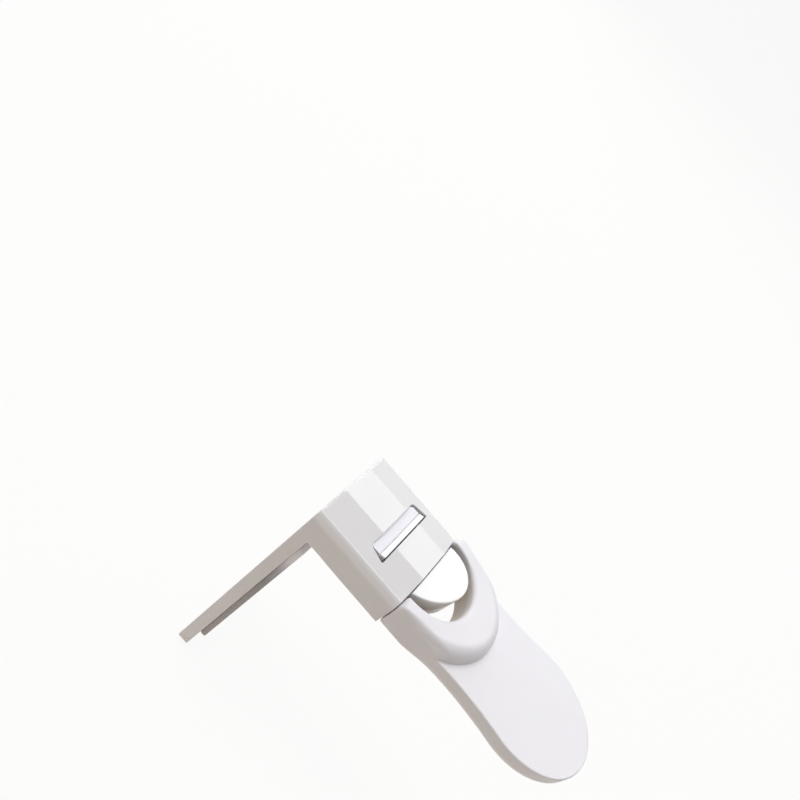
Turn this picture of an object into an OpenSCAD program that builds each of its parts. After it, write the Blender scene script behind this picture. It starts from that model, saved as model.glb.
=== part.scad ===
// Right-angle safety lock for a cabinet or drawer, in millimetres.
// X runs along the lock, with the paddle's round tip at the +X end and the arm at the -X end.
// Y runs across the lock. Z points away from the panel that the paddle is stuck to.
// The origin is the centre of the paddle pad's sticky face.

/* [Overall] */

// Width of the corner housing
lock_width = 27.8; // [24:0.2:32]

/* [Paddle] */

// Thickness of the sticky foam under the paddle
pad_thick = 1.3; // [0.8:0.1:1.8]
// Thickness of the paddle's plate
plate_thick = 4; // [3.4:0.1:4.6]
// Length of the paddle's plate, from the joint with the housing to the round tip
plate_length = 50.3; // [44:0.1:60]
// How much narrower than the housing the paddle is at the joint, on each side
joint_inset = 0.1; // [0:0.05:0.3]
// How much wider than the joint the round end is, on each side
end_swell = 0.4; // [0.2:0.1:1]
// Radius of the round end's two bulging sides
flank_radius = 17.8; // [15:0.1:20]
// How much nearer than that radius the tip is to the round end's widest place
tip_flatten = 1.7; // [1.4:0.1:2.4]
// How much narrower than the joint the neck is, on each side
neck_inset = 0.9; // [0.5:0.05:1.2]
// Distance from the joint to the narrowest place of the neck
neck_position = 18; // [17:0.5:20]
// Rim of bare plate around the paddle's foam
pad_margin = 3.3; // [2.5:0.1:4]
// Length of the paddle's foam
pad_length = 26; // [20:0.5:27]

/* [Collar around the tab] */

// Height of the collar above the plate
collar_rise = 3.8; // [3.2:0.1:4.2]
// How far the collar's foot reaches from the joint
collar_reach = 19.8; // [18:0.1:21]
// How far the collar's oval would spread past the housing's sides at the joint
collar_spread = 2.5; // [1.5:0.1:3]
// Radius of the collar's rounded outer edge
collar_round = 3; // [1.5:0.1:3.2]
// Size of the bevel where the collar's two arms end at the housing
arm_bevel = 1.3; // [0.6:0.1:1.6]

/* [Tongue inside the housing] */

// Width of each of the tongue's two rails
rail_width = 2.3; // [1.8:0.1:2.5]
// Height of the rails
rail_height = 3.6; // [3:0.1:3.8]
// Length of the rails inside the collar, where they join the plate
rail_root = 3; // [2:0.1:4]
// Wall of the cross-bar in front of the lever's seat
seat_wall = 0.65; // [0.5:0.05:0.8]
// Lip of the cross-bar that keeps the lever's heel in its seat
seat_lip = 0.75; // [0.5:0.05:1]

/* [Tab lever] */

// Height of the thumb tab's top above the plate, at the housing
tab_rise = 3.3; // [2.8:0.1:3.5]
// How much higher the thumb tab's top is at its tip
tab_lift = 2; // [1:0.1:2.2]
// How much wider than the lever the thumb tab's round is, on each side
tab_bulge = 0.3; // [0:0.05:0.5]
// How far the centre of the thumb tab's round lies behind the tab
tab_setback = 1.7; // [0:0.1:2]
// Depth of the thumb tab's wall at the housing
tab_depth = 5.1; // [4.6:0.1:5.2]
// How much higher the thumb tab's underside is at its tip
tab_undercut = 1.3; // [1:0.1:1.6]
// Gap between the lever's sides and the collar's round opening
tab_gap = 1.7; // [1.4:0.1:2.2]
// Thickness of the lever's springy leaf
leaf_thick = 1.3; // [1:0.1:1.5]
// Radius of the lever's round heel
heel_radius = 1.2; // [1.1:0.05:1.3]
// How much shorter than the lever's width the round heel is, on each side
heel_inset = 1; // [0.8:0.1:2]
// Distance from the housing's inner roof down to the lever's pivot
pivot_drop = 2.9; // [2.7:0.05:3]
// Gap between the lever and the tongue's side rails
slot_gap = 0.8; // [0.5:0.1:1]
// Length of the flat land on top of the barb
barb_land = 1.3; // [1:0.1:2]
// How far the barb's top stays below the housing's top
barb_recess = 0.9; // [0.8:0.05:1]
// How far the barb's ends stay inside the lever's sides
barb_inset = 0.4; // [0.3:0.05:0.8]
// Angle that the lever swings through when the tab is pressed
press_angle = 8; // [7:0.5:8]

/* [Corner housing] */

// Length of the housing along the lock, with the arm's thickness
housing_length = 23.6; // [22.6:0.1:28]
// Height of the housing
housing_height = 9; // [8.8:0.1:10]
// Width of each of the two sloping sides of the housing's roof
facet_width = 8.8; // [7:0.1:9.5]
// Angle of the roof's sloping sides
facet_angle = 12; // [8:1:15]
// Radius of the housing's long shoulders
shoulder_radius = 2; // [2:0.1:3]
// Radius of the edge between the housing's top and the arm's outer face
back_radius = 1; // [0.6:0.1:1.6]
// Thickness of the housing's roof
roof_thick = 1.3; // [1.1:0.1:1.4]
// Thickness of the housing's side walls
side_wall = 1.5; // [1.3:0.1:1.7]
// Thickness of the housing's floor
floor_thick = 1.2; // [1:0.1:1.4]
// Thickness of the housing's wall at the arm
back_wall = 2.5; // [2:0.1:3]
// Length of the window along the lock
window_length = 3.9; // [3.4:0.1:4.6]
// How much wider the window is at its mouth side, on each side
window_flare = 0.7; // [0:0.1:1]
// Radius of the window's two corners at its arm side
window_round = 0.9; // [0.3:0.1:1.5]
// How much the window's wall at the mouth side leans away from the barb below
window_lean = 0.3; // [0:0.05:0.5]
// Distance from the housing's mouth to the window
window_setback = 8.1; // [7:0.1:8.5]

/* [Arm] */

// Thickness of the arm
arm_thick = 3; // [2.4:0.1:3.6]
// Length of the arm below the housing's underside
arm_drop = 56.4; // [52:0.1:75]
// Radius of the two corners at the arm's tip
arm_tip_radius = 2; // [1:0.1:5]
// Thickness of the arm's foam
arm_pad_thick = 1.5; // [0.8:0.1:2]
// Length of the arm's foam
arm_pad_length = 45.6; // [30:0.1:46]
// Bare length of the arm between its foam and the housing's underside
arm_pad_margin = 4.2; // [2:0.1:6]
// Bare width of the arm on each side of its foam
arm_pad_inset = 1.5; // [1:0.1:3]

/* [Clearances] */

// Gap between the housing and the panel under it
panel_gap = 0.3; // [0.3:0.05:0.4]
// Gap between the housing and the tongue inside it
slide_gap = 0.3; // [0.25:0.05:0.4]
// Gap between the housing's back wall and the tongue's tip
tip_gap = 0.4; // [0.3:0.05:0.6]
// Gap between the housing's mouth and the paddle
mouth_gap = 0.7; // [0.6:0.05:0.9]
// Gap between the housing's mouth and the thumb tab
tab_back_gap = 0.5; // [0.4:0.05:0.6]
// Gap between the barb's ends and the window
window_gap = 0.5; // [0.4:0.05:0.8]
// Gap between the barb and the window's edge as the barb swings past it
catch_gap = 0.18; // [0.15:0.01:0.25]
// Gap between the lever's round heel and its seat
heel_gap = 0.06; // [0.04:0.01:0.1]
// Gap between the lever's leaf and the seat's lips
leaf_gap = 0.2; // [0.15:0.01:0.25]

/* [Hidden] */

$fn = 96;
half_width = lock_width / 2;

// Depth by which joined shapes run into each other, and by which cuts run past what they cut
overlap = 0.2;
past = 2;
skin = 0.05;

// Tiny step between the neck's arc and the round end's arc where the two meet
seam = 0.01;

// Paddle: plan and heights
joint_half = half_width - joint_inset;
neck_half = joint_half - neck_inset;
swell_half = joint_half + end_swell;
mouth_x = -(plate_length - pad_margin - pad_length / 2);
neck_x = mouth_x + neck_position;
tip_x = mouth_x + plate_length;
tip_reach = flank_radius - tip_flatten;
swell_x = tip_x - tip_reach;
flank_y = flank_radius - swell_half;
tip_radius = (flank_radius + tip_reach - flank_y ^ 2 / tip_flatten) / 2;
tip_centre_x = tip_x - tip_radius;
neck_run = swell_x - neck_x;
neck_radius = (neck_run ^ 2 / (swell_half - neck_half) - flank_radius - neck_half - flank_y) / 2;
neck_y = neck_half + neck_radius - seam;
blend_x = neck_x + neck_run * neck_radius / (neck_radius + flank_radius);
plate_top = pad_thick + plate_thick;
collar_top = plate_top + collar_rise;
collar_half = half_width + collar_spread;

// Housing: lengths and heights
housing_mouth_x = mouth_x - mouth_gap;
housing_back_x = housing_mouth_x - housing_length;
arm_inner_x = housing_back_x + arm_thick;
arm_pad_half = half_width - arm_pad_inset;
housing_top = panel_gap + housing_height;
cavity_half = half_width - side_wall;
cavity_floor = panel_gap + floor_thick;
cavity_roof = housing_top - roof_thick;
cavity_back_x = housing_back_x + back_wall;
cavity_shoulder = shoulder_radius - roof_thick;
crown_half = half_width - facet_width;
window_front_x = housing_mouth_x - window_setback;

// Tongue of the paddle inside the housing
tongue_half = cavity_half - slide_gap;
tongue_bottom = cavity_floor + slide_gap;
tongue_tip_x = cavity_back_x + tip_gap;
rail_inner = tongue_half - rail_width;
crossbar_top = cavity_roof - slide_gap / cos(facet_angle);

// Lever: heel, leaf, barb and tab
lever_half = rail_inner - slot_gap;
seat_radius = heel_radius + heel_gap;
pivot_x = tongue_tip_x + seat_wall + seat_radius;
pivot_z = cavity_roof - pivot_drop;
heel_half = lever_half - heel_inset;
seat_half = heel_half + slot_gap;
crossbar_front_x = pivot_x + seat_radius + seat_lip;
leaf_bottom = pivot_z - leaf_thick / 2;
leaf_top = leaf_bottom + leaf_thick;
leaf_back_x = pivot_x + heel_radius / 2;
seat_low = leaf_bottom - (crossbar_front_x - pivot_x) * sin(press_angle) - leaf_gap;
seat_high = leaf_top + leaf_gap;
barb_top = housing_top - barb_recess;
barb_half = lever_half - barb_inset;
window_half = barb_half + window_gap;
edge_low = cavity_roof - (barb_half - crown_half) * tan(facet_angle);
edge_run = window_front_x + window_lean - pivot_x;
edge_rise = edge_low - pivot_z;
catch_radius = sqrt(edge_run ^ 2 + edge_rise ^ 2) - catch_gap;
barb_rise = barb_top - pivot_z;
catch_x = pivot_x + sqrt(catch_radius ^ 2 - barb_rise ^ 2);
ridge_x = catch_x - barb_land;
opening_radius = lever_half + tab_gap;
tab_radius = lever_half + tab_bulge;
tab_top = plate_top + tab_rise;
tab_back_x = housing_mouth_x + tab_back_gap;
tab_centre_x = tab_back_x - tab_setback;
tab_tip_x = tab_centre_x + tab_radius;
tab_tilt = tab_lift / (tab_tip_x - tab_back_x);
tab_root_low = tab_top - tab_depth;
tab_tip_low = tab_root_low + tab_undercut;
tab_relief = leaf_bottom - tab_root_low;

// Extrudes a drawing made in Y and Z along X, from one X to another
module along_x(from_x, to_x) {
    translate([from_x, 0, 0])
        rotate([90, 0, 90])
            linear_extrude(to_x - from_x)
                children();
}

// Extrudes a drawing made in X and Z across the lock, to the same reach on both sides
module across_y(reach) {
    rotate([90, 0, 0])
        linear_extrude(2 * reach, center = true)
            children();
}

// Cross-section with upright walls, round shoulders and a roof of a flat crown and two sloping sides
module roofed_section(half, low, high, shoulder) {
    round_y = half - shoulder;
    round_z = high - (round_y - crown_half) * tan(facet_angle) - shoulder / cos(facet_angle);
    eave_y = round_y + shoulder * sin(facet_angle);
    eave_z = round_z + shoulder * cos(facet_angle);
    polygon([
        [-half, low],
        [half, low],
        [half, round_z],
        [eave_y, eave_z],
        [crown_half, high],
        [-crown_half, high],
        [-eave_y, eave_z],
        [-half, round_z]
    ]);
    for (side = [-1, 1])
        translate([side * round_y, round_z])
            circle(shoulder);
}

// Side view of the housing with its rounded top edge at the arm
module housing_side() {
    round_x = housing_back_x + back_radius;
    round_z = housing_top - back_radius;
    translate([housing_back_x, panel_gap])
        square([housing_length, housing_height - back_radius]);
    translate([round_x, panel_gap])
        square([housing_length - back_radius, housing_height + past]);
    translate([round_x, round_z])
        circle(back_radius);
}

// Outline of the arm, seen along the lock, with two round corners at its tip
module arm_outline() {
    tip_z = panel_gap - arm_drop;
    translate([-half_width, tip_z + arm_tip_radius])
        square([lock_width, arm_drop - arm_tip_radius + floor_thick]);
    translate([-half_width + arm_tip_radius, tip_z])
        square([lock_width - 2 * arm_tip_radius, arm_drop]);
    for (side = [-1, 1])
        translate([side * (half_width - arm_tip_radius), tip_z + arm_tip_radius])
            circle(arm_tip_radius);
}

// Place along the lock where the round end's sides pass into its tip
function join_x(inset) =
    swell_x + (flank_radius - inset) * (tip_centre_x - swell_x) / (flank_radius - tip_radius);

// Plan of the paddle's round end from a given place on, set in from the plate's edge
module end_plan(from_x, inset) {
    intersection() {
        translate([swell_x, flank_y])
            circle(flank_radius - inset);
        translate([swell_x, -flank_y])
            circle(flank_radius - inset);
        translate([from_x, -flank_radius])
            square([join_x(inset) - from_x, 2 * flank_radius]);
    }
    translate([tip_centre_x, 0])
        circle(tip_radius - inset);
}

// Plan of the paddle's plate: parallel sides at the joint, a neck and a round end
module plate_plan() {
    difference() {
        union() {
            translate([mouth_x, -joint_half])
                square([neck_position, 2 * joint_half]);
            translate([neck_x, -swell_half])
                square([blend_x - neck_x, 2 * swell_half]);
        }
        for (side = [-1, 1])
            translate([neck_x, side * neck_y])
                circle(neck_radius, $fn = 360);
    }
    end_plan(blend_x, 0);
}

// Plan of the foam under the paddle, round at the tip and square towards the collar
module pad_plan() {
    pad_half = swell_half - pad_margin;
    end_plan(swell_x, pad_margin);
    translate([-pad_length / 2, -pad_half])
        square([swell_x + pad_length / 2, 2 * pad_half]);
}

// Thin oval slab of the collar, drawn in from the collar's foot
module collar_slab(inset, high) {
    translate([mouth_x, 0, high - skin])
        scale([(collar_reach - inset) / (collar_half - inset), 1, 1])
            cylinder(h = skin, r = collar_half - inset, $fn = 72);
}

// Raised oval with a rounded outer edge around the thumb tab, cut to the plate's outline
module collar() {
    intersection() {
        hull() {
            collar_slab(0, plate_top);
            for (turn = [0:22.5:90])
                collar_slab(collar_round * (1 - cos(turn)), collar_top - collar_round * (1 - sin(turn)));
        }
        translate([0, 0, pad_thick + overlap])
            linear_extrude(collar_top)
                plate_plan();
    }
}

// Cross-section of the housing's hollow with the sliding gap taken off
module tongue_section() {
    roofed_section(tongue_half, tongue_bottom, crossbar_top, cavity_shoulder - slide_gap);
}

// Two rails and a cross-bar with the round seat of the lever's heel
module tongue() {
    along_x(tongue_tip_x, mouth_x + rail_root)
        intersection() {
            tongue_section();
            for (side = [-1, 1])
                translate([side > 0 ? rail_inner : -tongue_half, tongue_bottom])
                    square([rail_width, rail_height]);
        }
    difference() {
        along_x(tongue_tip_x, crossbar_front_x)
            tongue_section();
        translate([pivot_x, 0, pivot_z])
            rotate([90, 0, 0])
                cylinder(h = 2 * seat_half, r = seat_radius, center = true);
        translate([pivot_x, -rail_inner, seat_low])
            cube([seat_radius + seat_lip + past, 2 * rail_inner, seat_high - seat_low]);
    }
}

module paddle() {
    color([0.93, 0.92, 0.94]) {
        difference() {
            union() {
                translate([0, 0, pad_thick])
                    linear_extrude(plate_thick)
                        plate_plan();
                collar();
            }
            translate([mouth_x, 0, pad_thick - past])
                cylinder(h = plate_thick + collar_rise + 2 * past, r = opening_radius);
            across_y(half_width + past)
                polygon([
                    [mouth_x - past, collar_top - arm_bevel - past],
                    [mouth_x + arm_bevel + past, collar_top + past],
                    [mouth_x - past, collar_top + past]
                ]);
        }
        tongue();
    }
}

module latch_lever() {
    color([0.96, 0.96, 0.97]) {
        across_y(heel_half)
            translate([pivot_x, pivot_z])
                circle(heel_radius);
        across_y(lever_half)
            translate([leaf_back_x, leaf_bottom])
                square([tab_back_x + tab_relief - leaf_back_x, leaf_thick]);
        across_y(barb_half)
            polygon([
                [ridge_x - (barb_top - leaf_top) - overlap, leaf_top - overlap],
                [ridge_x, barb_top - barb_land * tab_tilt],
                [catch_x, barb_top],
                [catch_x, leaf_top - overlap]
            ]);
        intersection() {
            translate([tab_centre_x, 0, tab_root_low - past])
                cylinder(h = tab_depth + tab_lift + 2 * past, r = tab_radius);
            across_y(tab_radius + past)
                polygon([
                    [tab_back_x, tab_top],
                    [tab_tip_x + past, tab_top + tab_lift + past * tab_tilt],
                    [tab_tip_x + past, tab_tip_low],
                    [tab_tip_x, tab_tip_low],
                    [tab_back_x + tab_relief, tab_root_low],
                    [tab_back_x, leaf_bottom]
                ]);
        }
    }
}

// Window over the barb: wider towards the mouth, with a leaning wall there
module window() {
    back_half = window_half - window_round;
    lean_x = window_lean / (housing_top - edge_low);
    high = housing_top + past;
    low = edge_low - past;
    intersection() {
        translate([window_front_x, 0, low])
            linear_extrude(high - low) {
                polygon([
                    [past, -window_half - window_flare],
                    [past, window_half + window_flare],
                    [0, window_half + window_flare],
                    [window_round - window_length, window_half],
                    [window_round - window_length, -window_half],
                    [0, -window_half - window_flare]
                ]);
                translate([-window_length, -back_half])
                    square([window_length, 2 * back_half]);
                for (side = [-1, 1])
                    translate([window_round - window_length, side * back_half])
                        circle(window_round);
            }
        across_y(half_width)
            polygon([
                [window_front_x - window_length - past, low],
                [window_front_x + (housing_top - low) * lean_x, low],
                [window_front_x - past * lean_x, high],
                [window_front_x - window_length - past, high]
            ]);
    }
}

module corner_housing() {
    color([0.92, 0.91, 0.92])
        difference() {
            union() {
                intersection() {
                    along_x(housing_back_x, housing_mouth_x)
                        roofed_section(half_width, panel_gap, housing_top, shoulder_radius);
                    across_y(half_width + past)
                        housing_side();
                }
                along_x(housing_back_x, arm_inner_x)
                    arm_outline();
            }
            along_x(cavity_back_x, housing_mouth_x + past)
                roofed_section(cavity_half, cavity_floor, cavity_roof, cavity_shoulder);
            window();
        }
}

module arm_foam_pad() {
    color([0.84, 0.84, 0.86])
        translate([arm_inner_x, -arm_pad_half, panel_gap - arm_pad_margin - arm_pad_length])
            cube([arm_pad_thick, 2 * arm_pad_half, arm_pad_length]);
}

module paddle_foam_pad() {
    color([0.84, 0.84, 0.86])
        linear_extrude(pad_thick)
            pad_plan();
}

corner_housing();
paddle();
latch_lever();
arm_foam_pad();
paddle_foam_pad();
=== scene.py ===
import math

import bpy
import numpy as np
from mathutils import Matrix, Vector


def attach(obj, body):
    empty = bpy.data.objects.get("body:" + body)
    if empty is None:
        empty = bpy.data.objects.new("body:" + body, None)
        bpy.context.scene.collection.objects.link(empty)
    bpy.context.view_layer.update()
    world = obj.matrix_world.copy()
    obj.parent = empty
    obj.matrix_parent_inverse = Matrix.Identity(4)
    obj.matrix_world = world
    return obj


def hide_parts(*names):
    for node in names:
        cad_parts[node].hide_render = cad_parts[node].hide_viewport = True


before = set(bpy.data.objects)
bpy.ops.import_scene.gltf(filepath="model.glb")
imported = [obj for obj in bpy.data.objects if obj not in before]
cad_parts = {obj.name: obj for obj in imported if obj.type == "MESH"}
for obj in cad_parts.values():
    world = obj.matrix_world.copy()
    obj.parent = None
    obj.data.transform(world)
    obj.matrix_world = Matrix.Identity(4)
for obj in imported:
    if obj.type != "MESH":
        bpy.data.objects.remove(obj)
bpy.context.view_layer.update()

MM = 0.001


# Sizes in millimetres, in the frame of the solids. The rounds are given where they are used.

HALF_WIDTH = 13.9
HOUSING_BACK = -58.3
HOUSING_MOUTH = -34.7
HOUSING_UNDER = 0.3
ROOF_TOP = 9.3
ROOF_UNDER = 8.0
ROOF_SLOPE = math.radians(12)
CROWN_HALF = 5.1
CAVITY_HALF = 12.4
CAVITY_BACK = -55.8
CAVITY_FLOOR = 1.5
WINDOW_BACK = -46.7
WINDOW_FRONT = -42.8
WINDOW_HALF = 9.8
WINDOW_FLARE = 0.2333
WINDOW_LEAN = 0.138
WINDOW_UNDER = 5.5
ARM_FACE = -55.3
ARM_TOP = 2.0
ARM_TIP = -56.1

PLATE_UNDER = 1.3
PLATE_TOP = 5.3
PLATE_BEVEL = 0.75
ARMS_END = -34.45
ARMS_HALF = 13.8
OPENING_CENTRE = -34
OPENING_RADIUS = 10.7
COLLAR_REACH = 19.8
COLLAR_HALF = 16.4
COLLAR_UNDER = 3.5
COLLAR_LOW = 8.6
COLLAR_RISE = 0.4
COLLAR_ROUND = 3.0
FLANK_CENTRE = 0.2
FLANK_OFFSET = 3.6
FLANK_RADIUS = 17.8
TIP_CENTRE = 3.16
TIP_RADIUS = 13.14
NECK_START = -28.27
NECK_END = -2.64
NECK_HALF = 12.9
NECK_CENTRE = -16
NECK_RADIUS = 83.8
TONGUE_BACK = -55.4
TONGUE_UNDER = 1.8
TONGUE_HALF = 12.1
RAIL_INNER = 9.8
RAIL_END = -31.0
RAIL_TOP = 5.4
BAR_END = -51.48
BAR_TOP = 7.69
SLOT_UNDER = 3.97
SLOT_TOP = 5.95

HEEL_X = -53.49
HEEL_Z = 5.1
HEEL_RADIUS = 1.2
HEEL_HALF = 8.0
SEAT_RADIUS = 1.26
SEAT_HALF = 8.8
LEAF_BACK = -52.89
LEAF_UNDER = 4.45
LEAF_TOP = 5.75
LEAF_END = -33.25
LEAF_HALF = 9.0
BARB_HALF = 8.6
BARB_UNDER = 5.2
BARB_BACK = -46.62
BARB_BACK_TOP = 8.1
BARB_BACK_SLOPE = 12
SHELF_SLOPE = 0.06
WEDGE_SLOPE = 0.33
CREASE_X = -44.2
CREASE_Z = 8.25
GROOVE_BACK = -44.29
GROOVE_FRONT = -44.11
GROOVE_UNDER = 7.9
CATCH = -43.0
TAB_CENTRE = -35.9
TAB_RADIUS = 9.3
TAB_BACK = -34.42
TAB_ROOT = -34.2
TAB_TOP = 8.6
TAB_SLOPE = 0.263
TAB_UNDER = 3.5
TAB_UNDER_SLOPE = 0.195
TAB_CROWN = 0.0008
TAB_CROWN_X = -31

FOAM_SWELL = 0.12
STRIP_FACE = -53.8
STRIP_TOP = -4.02
STRIP_END = -49.9
STRIP_HALF = 12.28
DISC_TOP = 1.3
DISC_HALF = 10.9
DISC_BACK = -12.88
DISC_MARGIN = 3.3


# Shapes are signed distances in millimetres, negative inside. both, either and cut join two of
# them, with a round of radius r along the seam.

def both(a, b, r=0.0):
    if np.all(np.asarray(r) == 0):
        return np.maximum(a, b)
    return np.minimum(np.maximum(a, b), -r) + np.hypot(np.maximum(a + r, 0), np.maximum(b + r, 0))


def either(a, b, r=0.0):
    if r == 0:
        return np.minimum(a, b)
    return np.maximum(np.minimum(a, b), r) - np.hypot(np.maximum(r - a, 0), np.maximum(r - b, 0))


def cut(a, b, r=0.0):
    return both(a, -b, r)


def ease(low, high, value):
    t = np.clip((value - low) / (high - low), 0, 1)
    return t * t * (3 - 2 * t)


def slab(value, low, high):
    return np.abs(value - (low + high) / 2) - (high - low) / 2


def slope(rise, run, steepness):
    return (rise - run * steepness) / math.hypot(1, steepness)


def roofed(y, z, half, high, shoulder, crease):
    """Section with a level crown, two sloping facets with soft creases, and round shoulders."""
    side = np.abs(y)
    crown = z - high
    facet = crown * math.cos(ROOF_SLOPE) + (side - CROWN_HALF) * math.sin(ROOF_SLOPE)
    near = np.maximum(crease - np.abs(facet - crown), 0)
    roof = np.maximum(facet, crown) + near ** 2 / (4 * crease)
    return both(side - half, roof, shoulder)


# Corner housing with its arm, its cavity and its window

def housing_field(x, y, z):
    side = np.abs(y)
    block = np.maximum(x - HOUSING_MOUTH, HOUSING_UNDER - z)
    arm = np.maximum(x - ARM_FACE, z - ARM_TOP)
    profile = np.maximum(either(block, arm, 0.5), HOUSING_BACK - x)
    section = roofed(y, z, HALF_WIDTH, ROOF_TOP, 2.0, 0.07)
    section = both(section, ARM_TIP - z, 2.0)
    back_round = 0.3 + 0.4 * ease(4.0, 8.5, z) * ease(13.0, 10.0, side)
    edge_round = back_round + (0.12 - back_round) * ease(-52, -46, x)
    body = both(profile, section, edge_round)
    cavity = roofed(y, z, CAVITY_HALF, ROOF_UNDER, 0.7, 0.1)
    cavity = both(cavity, CAVITY_FLOOR - z, 0.3)
    cavity = both(cavity, CAVITY_BACK - x, 0.3)
    body = cut(body, cavity, 0.12)
    ends = slope(side - WINDOW_HALF, x - WINDOW_FRONT, WINDOW_FLARE)
    front = slope(x - WINDOW_FRONT, ROOF_TOP - z, WINDOW_LEAN)
    window = both(WINDOW_BACK - x, ends, 0.9)
    window = both(window, front, 0.12)
    window = np.maximum(window, WINDOW_UNDER - z)
    return cut(body, window, 0.1)


# Paddle with its collar and its tongue

def end_field(x, y):
    """Round end of the plate: two flank arcs and a tip arc that is tangent to both."""
    side = np.abs(y)
    flank = np.hypot(x - FLANK_CENTRE, side + FLANK_OFFSET) - FLANK_RADIUS
    tip = np.hypot(x - TIP_CENTRE, y) - TIP_RADIUS
    lead = TIP_CENTRE - FLANK_CENTRE
    on_flank = lead * (side + FLANK_OFFSET) - FLANK_OFFSET * (x - FLANK_CENTRE) > 0
    return np.where(on_flank, flank, tip)


def plan_field(x, y):
    rise = np.sqrt(np.maximum(NECK_RADIUS ** 2 - (x - NECK_CENTRE) ** 2, 1))
    width = np.where(x < NECK_START, ARMS_HALF, NECK_HALF + NECK_RADIUS - rise)
    return np.where(x < NECK_END, np.abs(y) - width, end_field(x, y))


def collar_field(x, y):
    along = x - OPENING_CENTRE
    k = np.sqrt((along / COLLAR_REACH) ** 2 + (y / COLLAR_HALF) ** 2) + 1e-6
    gx = along / (COLLAR_REACH ** 2 * k)
    gy = y / (COLLAR_HALF ** 2 * k)
    return (k - 1) / np.maximum(np.hypot(gx, gy), 0.02)


def tongue_field(x, y, z):
    side = np.abs(y)
    rails = np.maximum(slab(x, TONGUE_BACK, RAIL_END), slab(z, TONGUE_UNDER, RAIL_TOP))
    rails = both(rails, slab(side, RAIL_INNER, TONGUE_HALF), 0.2)
    bar = both(roofed(y, z, TONGUE_HALF, BAR_TOP, 0.45, 0.1), TONGUE_UNDER - z, 0.2)
    bar = both(bar, slab(x, TONGUE_BACK, BAR_END), 0.2)
    seat = np.maximum(np.hypot(x - HEEL_X, z - HEEL_Z) - SEAT_RADIUS, side - SEAT_HALF)
    slot = np.maximum(np.maximum(slab(z, SLOT_UNDER, SLOT_TOP), HEEL_X - x), side - RAIL_INNER)
    return either(rails, cut(bar, np.minimum(seat, slot), 0.1))


def paddle_field(x, y, z):
    side = np.abs(y)
    plan = plan_field(x, y)
    collar_top = COLLAR_LOW + COLLAR_RISE * ease(-24, -33, x)
    collar = both(collar_field(x, y), z - collar_top, COLLAR_ROUND)
    collar = np.maximum(collar, COLLAR_UNDER - z)
    upper = either(z - PLATE_TOP, collar, 0.25)
    upper = both(upper, ARMS_END - x, 0.6 + 1.2 * ease(OPENING_RADIUS, ARMS_HALF, side))
    side_round = 0.3 + (0.3 + 1.2 * ease(-33.5, -28, x)) * ease(5.8, 7.6, z)
    body = both(upper, plan, side_round)
    past_neck = ease(-29, -20, x)
    bevel = (plan - z + PLATE_UNDER + PLATE_BEVEL * past_neck) / math.sqrt(2)
    body = both(body, bevel, 0.1 + 0.5 * past_neck)
    body = both(body, PLATE_UNDER - z, 0.1)
    opening = np.hypot(x - OPENING_CENTRE, y) - OPENING_RADIUS
    body = cut(body, opening, 0.4 + 0.7 * ease(-30, -25, x))
    return either(body, tongue_field(x, y, z))


# Lever with its heel, its leaf, its barb and its thumb tab

def barb_field(x, y, z):
    """Steep back, level shelf, thin groove, and a wedge that rises to the catch."""
    back = slope(z - BARB_BACK_TOP, x - BARB_BACK, BARB_BACK_SLOPE)
    shelf = z - CREASE_Z - (x - CREASE_X) * SHELF_SLOPE
    wedge = slope(z - CREASE_Z, x - CREASE_X, WEDGE_SLOPE)
    groove = np.maximum(slab(x, GROOVE_BACK, GROOVE_FRONT), GROOVE_UNDER - z)
    top = both(cut(either(shelf, wedge), groove), x - CATCH, 0.08)
    sides = both(back, np.abs(y) - BARB_HALF, 0.9)
    return both(sides, both(top, BARB_UNDER - z), 0.04)


def tab_field(x, y, z):
    crown = TAB_CROWN * (y ** 2 + (x - TAB_CROWN_X) ** 2)
    top = slope(z - TAB_TOP + crown, x - TAB_ROOT, TAB_SLOPE)
    under = -slope(z - TAB_UNDER, x - LEAF_END, TAB_UNDER_SLOPE)
    relief = -slope(z - LEAF_UNDER, x - TAB_ROOT, -1)
    tab = both(np.hypot(x - TAB_CENTRE, y) - TAB_RADIUS, top, 0.3)
    tab = both(both(tab, under, 0.3), relief, 0.3)
    return both(tab, TAB_BACK - x, 0.1)


def lever_field(x, y, z):
    side = np.abs(y)
    leaf = np.maximum(slab(x, LEAF_BACK, LEAF_END), slab(z, LEAF_UNDER, LEAF_TOP))
    leaf = both(leaf, side - LEAF_HALF, 0.2)
    heel = both(np.hypot(x - HEEL_X, z - HEEL_Z) - HEEL_RADIUS, side - HEEL_HALF, 0.2)
    arm = either(either(leaf, heel), barb_field(x, y, z), 0.15)
    return either(arm, tab_field(x, y, z))


# Foam tapes: flat where they stick, with sides that swell a little between their edges

def strip_field(x, y, z):
    middle = (ARM_FACE + STRIP_FACE) / 2
    half = (STRIP_FACE - ARM_FACE) / 2
    swell = FOAM_SWELL * np.clip(1 - ((x - middle) / half) ** 2, 0, 1)
    edge = both(np.abs(y) - STRIP_HALF - swell, slab(z, STRIP_END, STRIP_TOP) - swell, 1.0)
    return both(edge, slab(x, ARM_FACE, STRIP_FACE), 0.18)


def disc_field(x, y, z):
    half = DISC_TOP / 2
    swell = FOAM_SWELL * np.clip(1 - ((z - half) / half) ** 2, 0, 1)
    round_end = end_field(x, y) + DISC_MARGIN
    outline = np.where(x > FLANK_CENTRE, round_end, np.abs(y) - DISC_HALF) + FOAM_SWELL
    edge = both(outline, DISC_BACK - x, 1.2) - swell
    return both(edge, slab(z, 0, DISC_TOP), 0.18)


# Mesh of a field's zero surface: one point in each cell that the surface crosses, drawn onto it

PULL_ROUNDS = 6
PULL_LIMIT = 0.3
PROBE = 0.004


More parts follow.
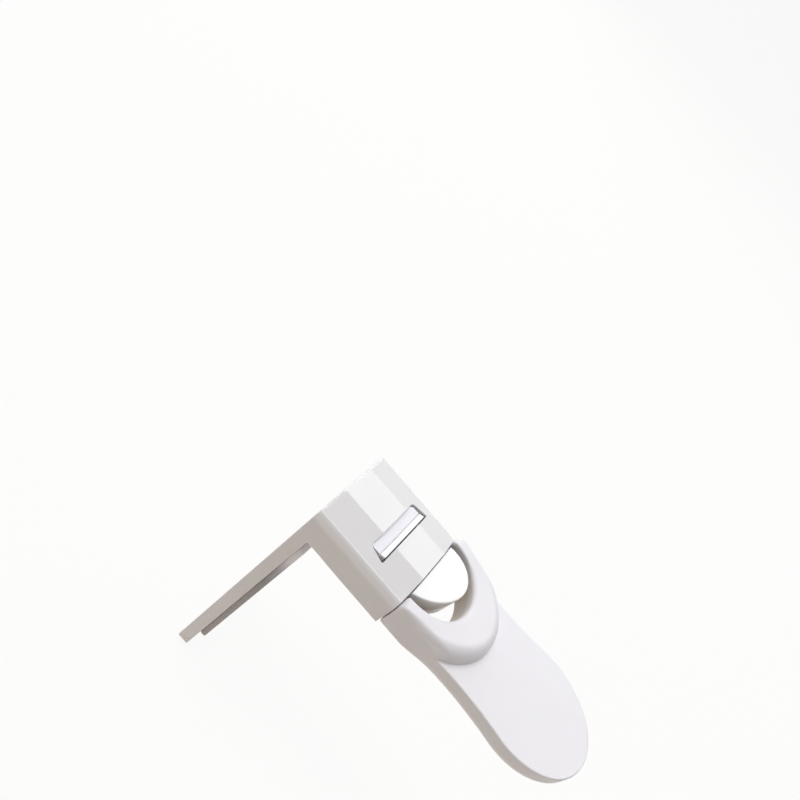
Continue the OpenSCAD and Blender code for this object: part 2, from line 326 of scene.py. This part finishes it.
def ticks(*spans):
    values = []
    for low, high, step in spans:
        count = max(1, round((high - low) / step))
        values.extend(np.linspace(low, high, count, endpoint=False))
    values.append(spans[-1][1])
    return np.array(values)


def gradient(field, points):
    g = np.empty_like(points)
    for axis in range(3):
        step = np.zeros(3)
        step[axis] = PROBE
        high = field(*(points + step).T)
        low = field(*(points - step).T)
        g[:, axis] = (high - low) / (2 * PROBE)
    return g


def surface(name, field, xs, ys, zs):
    f = field(*np.meshgrid(xs, ys, zs, indexing="ij"))
    shape = np.array(f.shape) - 1
    total = np.zeros(tuple(shape) + (3,))
    count = np.zeros(tuple(shape))
    axes = (xs, ys, zs)
    crossings = []
    for axis in range(3):
        lower = [slice(None)] * 3
        upper = [slice(None)] * 3
        lower[axis] = slice(0, -1)
        upper[axis] = slice(1, None)
        fa = f[tuple(lower)]
        fb = f[tuple(upper)]
        hit = np.argwhere((fa < 0) != (fb < 0))
        va = fa[tuple(hit.T)]
        vb = fb[tuple(hit.T)]
        point = np.stack([axes[i][hit[:, i]] for i in range(3)], 1)
        gap = axes[axis][hit[:, axis] + 1] - axes[axis][hit[:, axis]]
        point[:, axis] += va / (va - vb) * gap
        crossings.append((axis, hit, va < 0))
        others = [i for i in range(3) if i != axis]
        for da in (0, 1):
            for db in (0, 1):
                cell = hit.copy()
                cell[:, others[0]] -= da
                cell[:, others[1]] -= db
                keep = np.all((cell >= 0) & (cell < shape), axis=1)
                np.add.at(total, tuple(cell[keep].T), point[keep])
                np.add.at(count, tuple(cell[keep].T), 1)
    used = count > 0
    number = np.full(count.shape, -1)
    number[used] = np.arange(used.sum())
    points = total[used] / count[used][:, None]
    quads = []
    for axis, hit, rising in crossings:
        a, b = (axis + 1) % 3, (axis + 2) % 3
        corners = []
        for da, db in ((0, 0), (1, 0), (1, 1), (0, 1)):
            cell = hit.copy()
            cell[:, a] -= da
            cell[:, b] -= db
            corners.append(number[tuple(np.clip(cell, 0, shape - 1).T)])
        quad = np.stack(corners, 1)
        quad[~rising] = quad[~rising][:, ::-1]
        quads.append(quad)
    quads = np.concatenate(quads)
    for _ in range(PULL_ROUNDS):
        g = gradient(field, points)
        move = field(*points.T) / np.maximum((g * g).sum(1), 0.2)
        points -= np.clip(move, -PULL_LIMIT, PULL_LIMIT)[:, None] * g
    normals = gradient(field, points)
    normals /= np.maximum(np.linalg.norm(normals, axis=1), 1e-9)[:, None]
    mesh = bpy.data.meshes.new(name)
    mesh.from_pydata((points * MM).tolist(), [], quads.tolist())
    mesh.polygons.foreach_set("use_smooth", np.ones(len(quads), bool))
    mesh.normals_split_custom_set_from_vertices(normals.tolist())
    mesh.update()
    piece = bpy.data.objects.new(name, mesh)
    bpy.context.scene.collection.objects.link(piece)
    return piece


# Grids are finer where a piece has small rounds

housing = surface(
    "housing_moulding", housing_field,
    ticks(
        (-58.7, -57.1, 0.1), (-57.1, -54.7, 0.2), (-54.7, -47.2, 0.8),
        (-47.2, -42.0, 0.15), (-42.0, -35.6, 0.8), (-35.6, -34.2, 0.1),
    ),
    ticks(
        (-14.3, -8.5, 0.2), (-8.5, -4.5, 0.25), (-4.5, 4.5, 0.75),
        (4.5, 8.5, 0.25), (8.5, 14.3, 0.2),
    ),
    ticks((-56.5, -53.5, 0.2), (-53.5, -1.0, 1.5), (-1.0, 7.4, 0.2), (7.4, 9.7, 0.1)),
)
paddle = surface(
    "paddle_moulding", paddle_field,
    ticks(
        (-55.8, -50.9, 0.25), (-50.9, -35.0, 1.0), (-35.0, -10.0, 0.25),
        (-10.0, 2.0, 0.5), (2.0, 16.7, 0.25),
    ),
    ticks((-14.6, -8.8, 0.2), (-8.8, 8.8, 0.4), (8.8, 14.6, 0.2)),
    ticks((0.9, 9.7, 0.2)),
)
lever = surface(
    "lever_moulding", lever_field,
    ticks(
        (-55.0, -51.5, 0.2), (-51.5, -48.5, 0.5), (-48.5, -46.9, 0.15),
        (-46.9, -46.4, 0.05), (-46.4, -44.5, 0.15), (-44.5, -43.9, 0.03),
        (-43.9, -42.3, 0.15), (-42.3, -35.0, 0.6), (-35.0, -24.8, 0.2),
    ),
    ticks((-9.3, -6.0, 0.2), (-6.0, 6.0, 0.4), (6.0, 9.3, 0.2)),
    ticks((2.8, 7.7, 0.15), (7.7, 8.8, 0.05), (8.8, 11.2, 0.15)),
)
strip = surface(
    "arm_foam_strip", strip_field,
    ticks((-55.5, -53.6, 0.1)),
    ticks((-12.7, -10.7, 0.2), (-10.7, 10.7, 1.0), (10.7, 12.7, 0.2)),
    ticks((-50.3, -48.3, 0.2), (-48.3, -5.6, 1.0), (-5.6, -3.6, 0.2)),
)
disc = surface(
    "paddle_foam_disc", disc_field,
    ticks((-13.3, 13.3, 0.3)),
    ticks((-11.4, 11.4, 0.3)),
    ticks((-0.2, 1.5, 0.1)),
)


# Materials

GRAIN_DEPTH = 0.05 * MM
CELL_DEPTH = 0.1 * MM
PAST_MOUTH = (-34.8 * MM, -34.5 * MM)
# Height span of the painted light and shade on the foam strip.
STRIP_PAINTED_LIGHT_SPAN = (-50 * MM, -6 * MM)
SHELF_BORDER = 0.1


class Graph:
    def __init__(self, tree):
        self.nodes = tree.nodes
        self.link = tree.links.new

    def add(self, kind, **values):
        node = self.nodes.new(kind)
        for key, value in values.items():
            setattr(node, key, value)
        return node

    def place(self):
        return self.add("ShaderNodeTexCoord").outputs["Object"]

    def texture(self, kind, place, **values):
        node = self.add(kind)
        for key, value in values.items():
            node.inputs[key].default_value = value
        self.link(place, node.inputs["Vector"])
        return node

    def split(self, place):
        node = self.add("ShaderNodeSeparateXYZ")
        self.link(place, node.inputs["Vector"])
        return node.outputs["X"], node.outputs["Y"], node.outputs["Z"]

    def ramp(self, value, first, last, *between):
        node = self.add("ShaderNodeValToRGB")
        stops = node.color_ramp.elements
        for stop, (position, colour) in zip((stops[0], stops[1]), (first, last)):
            stop.position = position
            stop.color = (*colour, 1)
        for position, colour in between:
            stops.new(position).color = (*colour, 1)
        self.link(value, node.inputs["Fac"])
        return node.outputs["Color"]

    def span(self, value, low, high, bottom=0.0, top=1.0):
        node = self.add("ShaderNodeMapRange")
        node.inputs["From Min"].default_value = low
        node.inputs["From Max"].default_value = high
        node.inputs["To Min"].default_value = bottom
        node.inputs["To Max"].default_value = top
        self.link(value, node.inputs["Value"])
        return node.outputs["Result"]

    def maths(self, operation, a, b):
        node = self.add("ShaderNodeMath", operation=operation)
        self.link(a, node.inputs[0])
        if isinstance(b, float):
            node.inputs[1].default_value = b
        else:
            self.link(b, node.inputs[1])
        return node.outputs["Value"]

    def tinted(self, share, colour, tint):
        node = self.add("ShaderNodeMix", data_type="RGBA")
        self.link(share, node.inputs["Factor"])
        self.link(colour, node.inputs["A"])
        node.inputs["B"].default_value = (*tint, 1)
        return node.outputs["Result"]

    def bump(self, height, strength, distance):
        node = self.add("ShaderNodeBump")
        node.inputs["Strength"].default_value = strength
        node.inputs["Distance"].default_value = distance
        self.link(height, node.inputs["Height"])
        return node.outputs["Normal"]


def material(name):
    made = bpy.data.materials.new(name)
    made.use_nodes = True
    return made, Graph(made.node_tree), made.node_tree.nodes["Principled BSDF"]


def painted_opening_shade(graph, place, colour, centre, inner, outer, low, high, tint):
    """Painted shade inside the opening: a tint from none to full, radius inner to outer, height
    high to low, past the mouth alone.
    """
    x, y, z = graph.split(place)
    flat = graph.add("ShaderNodeCombineXYZ")
    graph.link(graph.maths("ADD", x, -centre * MM), flat.inputs["X"])
    graph.link(y, flat.inputs["Y"])
    radius = graph.add("ShaderNodeVectorMath", operation="LENGTH")
    graph.link(flat.outputs["Vector"], radius.inputs[0])
    ring = graph.span(radius.outputs["Value"], inner * MM, outer * MM)
    level = graph.span(z, high * MM, low * MM)
    past_mouth = graph.span(x, *PAST_MOUTH)
    share = graph.maths("MULTIPLY", graph.maths("MULTIPLY", ring, level), past_mouth)
    return graph.tinted(share, colour, tint)


def painted_shelf_shade(graph, place, colour, limit, tint):
    """Painted shade on the sunken shelf of the barb: another tint behind the given X, with a soft
    border.
    """
    x, _, _ = graph.split(place)
    share = graph.span(x, (limit + SHELF_BORDER) * MM, (limit - SHELF_BORDER) * MM)
    return graph.tinted(share, colour, tint)


def plastic(name, tint, shade, gloss, grain, bump, grain_scale, opening_shade=None, shelf=None):
    made, graph, shader = material(name)
    place = graph.place()
    cloud = graph.texture("ShaderNodeTexNoise", place, Scale=90, Detail=3).outputs["Fac"]
    colour = graph.ramp(cloud, (0.3, shade), (0.7, tint))
    # This paints shade onto the barb's shelf, which lies sunk below the roof window.
    if shelf:
        colour = painted_shelf_shade(graph, place, colour, **shelf)
    # This paints shade onto the walls inside the paddle's opening, where little light reaches.
    if opening_shade:
        colour = painted_opening_shade(graph, place, colour, **opening_shade)
    graph.link(colour, shader.inputs["Base Color"])
    fine = graph.texture("ShaderNodeTexNoise", place, Scale=grain_scale, Detail=4).outputs["Fac"]
    graph.link(graph.span(fine, 0, 1, gloss, gloss + grain), shader.inputs["Roughness"])
    graph.link(graph.bump(fine, bump, GRAIN_DEPTH), shader.inputs["Normal"])
    shader.inputs["IOR"].default_value = 1.5
    return made


def foam(name):
    made, graph, shader = material(name)
    place = graph.place()
    cells = graph.texture("ShaderNodeTexVoronoi", place, Scale=3200).outputs["Distance"]
    colour = graph.ramp(cells, (0, (0.86, 0.87, 0.93)), (0.6, (0.95, 0.96, 1.0)))
    # Painted light and shade along the strip: white at its top end, darkest a little above its
    # middle, a little lighter at its bottom.
    height = graph.span(graph.split(place)[2], *STRIP_PAINTED_LIGHT_SPAN)
    painted_light_fade = graph.ramp(
        height, (0, (0.58, 0.55, 0.51)), (0.93, (1, 1, 1)),
        (0.45, (0.54, 0.52, 0.5)), (0.7, (0.47, 0.46, 0.45)), (0.82, (0.58, 0.58, 0.6)),
    )
    toned = graph.add("ShaderNodeMix", data_type="RGBA", blend_type="MULTIPLY")
    toned.inputs["Factor"].default_value = 1.0
    graph.link(colour, toned.inputs["A"])
    graph.link(painted_light_fade, toned.inputs["B"])
    graph.link(toned.outputs["Result"], shader.inputs["Base Color"])
    graph.link(graph.bump(cells, 0.2, CELL_DEPTH), shader.inputs["Normal"])
    graph.link(graph.span(cells, 0, 1, 0.65, 0.95), shader.inputs["Roughness"])
    return made


housing_plastic = plastic(
    "housing_white", tint=(0.85, 0.84, 0.848), shade=(0.83, 0.82, 0.828),
    gloss=0.12, grain=0.06, bump=0.12, grain_scale=2200,
)
paddle_plastic = plastic(
    "paddle_white", tint=(0.875, 0.861, 0.891), shade=(0.855, 0.841, 0.871),
    gloss=0.28, grain=0.14, bump=0.4, grain_scale=2600,
    # Painted shade on the wall of the opening.
    opening_shade=dict(
        centre=OPENING_CENTRE, inner=10.95, outer=10.75, low=6.0, high=8.4, tint=(0.5, 0.45, 0.39),
    ),
)
lever_plastic = plastic(
    "lever_white", tint=(0.93, 0.93, 0.93), shade=(0.91, 0.91, 0.91),
    gloss=0.12, grain=0.06, bump=0.12, grain_scale=2200,
    # Painted shade on the tab's wall inside the opening.
    opening_shade=dict(
        centre=TAB_CENTRE, inner=9.1, outer=9.27, low=5.5, high=9.2, tint=(0.52, 0.46, 0.4),
    ),
    # Painted shade on the barb's sunken shelf.
    shelf=dict(limit=CREASE_X, tint=(0.81, 0.81, 0.87)),
)
sticky_foam = foam("foam_white")

for piece, body, node, finish, slot in (
    (housing, "corner_body", "corner_housing", housing_plastic, "housing_plastic"),
    (paddle, "paddle_body", "paddle", paddle_plastic, "paddle_plastic"),
    (lever, "lever_body", "latch_lever", lever_plastic, "lever_plastic"),
    (strip, "corner_body", "arm_foam_pad", sticky_foam, "sticky_foam"),
    (disc, "paddle_body", "paddle_foam_pad", sticky_foam, "sticky_foam"),
):
    piece.data.materials.append(finish)
    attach(piece, body)
    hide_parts(node)


# Floor: white to the camera and in reflections, apart from the share that shows the shadow

FLOOR_REACH = 3.0
FLOOR_HEIGHT = -56.4 * MM
FLOOR_GLOW = 0.93

floor_mesh = bpy.data.meshes.new("floor")
floor_corners = [
    (FLOOR_REACH * i, FLOOR_REACH * j, FLOOR_HEIGHT)
    for i, j in ((-1, -1), (1, -1), (1, 1), (-1, 1))
]
floor_mesh.from_pydata(floor_corners, [], [(0, 1, 2, 3)])
floor = bpy.data.objects.new("floor", floor_mesh)
bpy.context.scene.collection.objects.link(floor)
floor_paint, graph, shader = material("floor_paint")
shader.inputs["Base Color"].default_value = (0.8, 0.72, 0.64, 1)
shader.inputs["Roughness"].default_value = 0.9
glow = graph.add("ShaderNodeEmission")
glow.inputs["Color"].default_value = (1, 1, 1, 1)
glow.inputs["Strength"].default_value = 1.0
rays = graph.add("ShaderNodeLightPath").outputs
seen = graph.maths("MAXIMUM", rays["Is Camera Ray"], rays["Is Transmission Ray"])
seen = graph.maths("MAXIMUM", seen, rays["Is Glossy Ray"])
mix = graph.add("ShaderNodeMixShader")
graph.link(graph.maths("MULTIPLY", seen, FLOOR_GLOW), mix.inputs["Fac"])
graph.link(shader.outputs["BSDF"], mix.inputs[1])
graph.link(glow.outputs["Emission"], mix.inputs[2])
graph.link(mix.outputs["Shader"], graph.nodes["Material Output"].inputs["Surface"])
floor.data.materials.append(floor_paint)


# Light: soft lamps around the lock, and a white backdrop for the camera alone

TARGET = (-0.03, 0.0, 0.0)
WHITE = (1.0, 1.0, 1.0)
COOL = (0.98, 0.98, 1.0)
WARM = (1.0, 0.83, 0.66)


def lamp(name, place, size, power, tint):
    data = bpy.data.lights.new(name, "AREA")
    data.shape = "RECTANGLE"
    data.size, data.size_y = size
    data.energy = power
    data.color = tint
    made = bpy.data.objects.new(name, data)
    made.location = place
    direction = Vector(TARGET) - Vector(place)
    made.rotation_euler = direction.to_track_quat("-Z", "Y").to_euler()
    bpy.context.scene.collection.objects.link(made)


lamp("top_light", (-0.1, 0.0, 1.0), (0.25, 0.9), 2.6, WHITE)
lamp("back_light", (-0.05, 0.60, 0.532), (1.4, 0.26), 3.2, COOL)
lamp("low_light", (-0.05, 0.76, 0.25), (1.4, 0.3), 0.3, COOL)
lamp("corner_light", (-0.6, 0.7, 0.13), (0.5, 0.45), 2.2, COOL)
lamp("end_light", (-0.48, 0.1, 0.82), (0.4, 0.5), 2.4, WHITE)
lamp("side_light", (0.0, -0.9, 0.2), (0.7, 0.4), 0.87, WARM)

world = bpy.data.worlds.new("studio")
world.use_nodes = True
graph = Graph(world.node_tree)
sky = graph.nodes["Background"]
sky.inputs["Color"].default_value = (1, 1, 1, 1)
sky.inputs["Strength"].default_value = 0.2
backdrop = graph.add("ShaderNodeBackground")
backdrop.inputs["Color"].default_value = (1, 1, 1, 1)
backdrop.inputs["Strength"].default_value = 1.0
mix = graph.add("ShaderNodeMixShader")
graph.link(graph.add("ShaderNodeLightPath").outputs["Is Camera Ray"], mix.inputs["Fac"])
graph.link(sky.outputs["Background"], mix.inputs[1])
graph.link(backdrop.outputs["Background"], mix.inputs[2])
graph.link(mix.outputs["Shader"], graph.nodes["World Output"].inputs["Surface"])
bpy.context.scene.world = world


# Camera: the photograph's viewing angle, in pixels of the photograph. VANISH is where lines along
# Y meet, SLANT is the direction of lines along X, and one corner of the paddle sets the place.

PHOTO_SIDE = 800
SENSOR = 36
FOCAL = 825.0
VANISH = np.array([910.0, 1.4])
VANISH_REACH = 743.0
SLANT = math.radians(49.1)
CORNER_PIXEL = np.array([381.3, 621.6])
CORNER_POINT = np.array([-34.0, -13.6, 1.3])
CORNER_SCALE = 5.1

along_x = np.array([math.cos(SLANT), math.sin(SLANT), 0.0])
principal = VANISH - VANISH_REACH * np.array([along_x[1], -along_x[0]])
along_y = np.array([*(VANISH - principal), FOCAL])
along_y /= np.linalg.norm(along_y)
turn = np.column_stack([along_x, along_y, np.cross(along_x, along_y)])
depth = FOCAL / CORNER_SCALE
corner_ray = np.array([*((CORNER_PIXEL - principal) / FOCAL), 1.0])
offset = corner_ray * depth - turn @ CORNER_POINT
eye = -turn.T @ offset * MM
axes = (np.diag([1.0, -1.0, -1.0]) @ turn).T
camera_data = bpy.data.cameras.new("camera")
camera_data.sensor_width = SENSOR
camera_data.lens = FOCAL / PHOTO_SIDE * SENSOR
camera_data.shift_x = (PHOTO_SIDE / 2 - principal[0]) / PHOTO_SIDE
camera_data.shift_y = (principal[1] - PHOTO_SIDE / 2) / PHOTO_SIDE
camera_data.clip_start = 0.01
camera_data.clip_end = 20
camera = bpy.data.objects.new("camera", camera_data)
stand = Matrix(axes.tolist()).to_4x4()
stand.translation = Vector(eye.tolist())
camera.matrix_world = stand
bpy.context.scene.collection.objects.link(camera)
bpy.context.scene.camera = camera

bpy.context.scene.view_settings.view_transform = "Standard"
